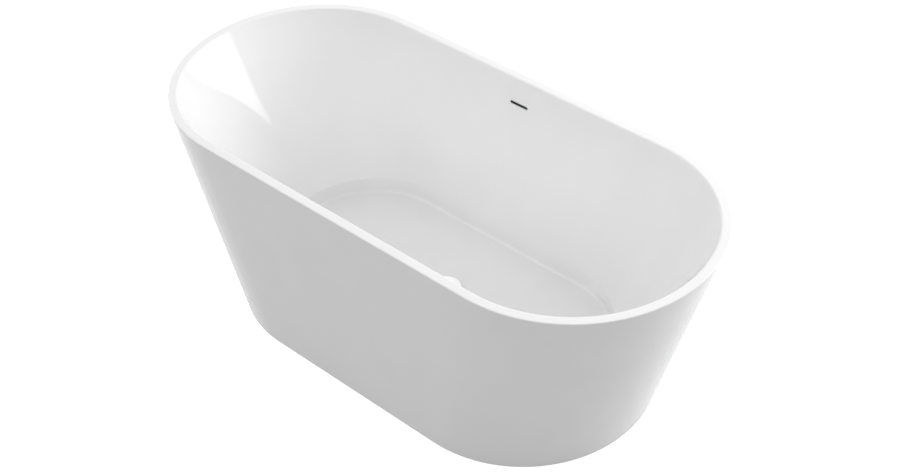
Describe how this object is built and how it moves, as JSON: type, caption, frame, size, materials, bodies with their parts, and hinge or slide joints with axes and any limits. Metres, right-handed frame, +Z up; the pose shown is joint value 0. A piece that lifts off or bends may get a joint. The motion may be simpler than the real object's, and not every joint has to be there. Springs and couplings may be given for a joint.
{
  "type": "freestanding bathtub",
  "caption": "Freestanding bathtub with half-round ends, flat thin rim, sloped double walls, click drain cap, overflow slot and levelling feet.",
  "frame": {"origin": "on the floor under the middle of the tub, at the undersides of the foot pads", "axes": "+Z up, X along the tub's length, +Y towards the side with the overflow slot"},
  "size_m": [1.5981, 0.7298, 0.59],
  "materials": {
    "shell_acrylic": "polished white cast acrylic",
    "resin": "cured filled resin",
    "plywood": "raw plywood",
    "chipboard": "raw chipboard sealed with resin",
    "galvanised_steel": "galvanised, dull",
    "zinc_steel": "zinc plated",
    "chrome": "polished chrome plate",
    "brass": "turned",
    "gasket_rubber": "moulded",
    "waste_plastic": "moulded white polypropylene",
    "hose_plastic": "corrugated grey plastic",
    "cap_gloss": "white enamelled dome",
    "pad_plastic": "moulded black nylon"
  },
  "bodies": {
    "tub": {"basin": "shell_acrylic", "outer_skirt": "shell_acrylic", "rim_bond": "resin", "skirt_ring": "plywood", "floor_board": "chipboard", "frame_rail_left": "galvanised_steel", "frame_rail_right": "galvanised_steel", "frame_screws": "zinc_steel", "skirt_brackets": "galvanised_steel", "bracket_screws": "zinc_steel", "bracket_bolts": "zinc_steel", "foot_weld_nuts": "zinc_steel", "foot_lock_nuts": "zinc_steel", "drain_flange": "chrome", "flange_gasket": "gasket_rubber", "body_gasket": "gasket_rubber", "waste_body": "waste_plastic", "plunger_cartridge": "brass", "tailpiece": "waste_plastic", "tailpiece_washer": "gasket_rubber", "tailpiece_nut": "waste_plastic", "overflow_trim": "chrome", "overflow_gasket": "gasket_rubber", "overflow_housing": "waste_plastic", "overflow_hose": "hose_plastic", "hose_clamps": "zinc_steel", "cross_member_1": "galvanised_steel", "cross_member_2": "galvanised_steel", "cross_member_3": "galvanised_steel", "cross_member_4": "galvanised_steel"},
    "cap": {"drain_cap": "cap_gloss", "cap_seal": "gasket_rubber", "cap_stem": "brass", "plunger_spring": "zinc_steel"},
    "pad_1": {"foot_pad_1": "pad_plastic"},
    "stud_1": {"foot_stud_1": "zinc_steel"},
    "pad_2": {"foot_pad_2": "pad_plastic"},
    "stud_2": {"foot_stud_2": "zinc_steel"},
    "pad_3": {"foot_pad_3": "pad_plastic"},
    "stud_3": {"foot_stud_3": "zinc_steel"},
    "pad_4": {"foot_pad_4": "pad_plastic"},
    "stud_4": {"foot_stud_4": "zinc_steel"}
  },
  "joints": [
    {"name": "cap_press", "type": "slide", "parent": "tub", "child": "cap", "axis": [0, 0, -1], "range_m": [0, 0.006], "deforming": ["plunger_spring"]},
    {"name": "foot_1_extend", "type": "slide", "parent": "tub", "child": "pad_1", "axis": [0, 0, -1], "range_m": [0, 0.025]},
    {"name": "foot_1_turn", "type": "hinge", "parent": "pad_1", "child": "stud_1", "pos_m": [-0.38, -0.225, 0.05], "axis": [0, 0, 1], "range_deg": [0, 5143]},
    {"name": "foot_2_extend", "type": "slide", "parent": "tub", "child": "pad_2", "axis": [0, 0, -1], "range_m": [0, 0.025]},
    {"name": "foot_2_turn", "type": "hinge", "parent": "pad_2", "child": "stud_2", "pos_m": [-0.38, 0.225, 0.05], "axis": [0, 0, 1], "range_deg": [0, 5143]},
    {"name": "foot_3_extend", "type": "slide", "parent": "tub", "child": "pad_3", "axis": [0, 0, -1], "range_m": [0, 0.025]},
    {"name": "foot_3_turn", "type": "hinge", "parent": "pad_3", "child": "stud_3", "pos_m": [0.38, -0.225, 0.05], "axis": [0, 0, 1], "range_deg": [0, 5143]},
    {"name": "foot_4_extend", "type": "slide", "parent": "tub", "child": "pad_4", "axis": [0, 0, -1], "range_m": [0, 0.025]},
    {"name": "foot_4_turn", "type": "hinge", "parent": "pad_4", "child": "stud_4", "pos_m": [0.38, 0.225, 0.05], "axis": [0, 0, 1], "range_deg": [0, 5143]}
  ],
  "couplings": [
    {"joint": "foot_1_turn", "follows": "foot_1_extend", "rad_per_m": 3590.4},
    {"joint": "foot_2_turn", "follows": "foot_2_extend", "rad_per_m": 3590.4},
    {"joint": "foot_3_turn", "follows": "foot_3_extend", "rad_per_m": 3590.4},
    {"joint": "foot_4_turn", "follows": "foot_4_extend", "rad_per_m": 3590.4}
  ]
}
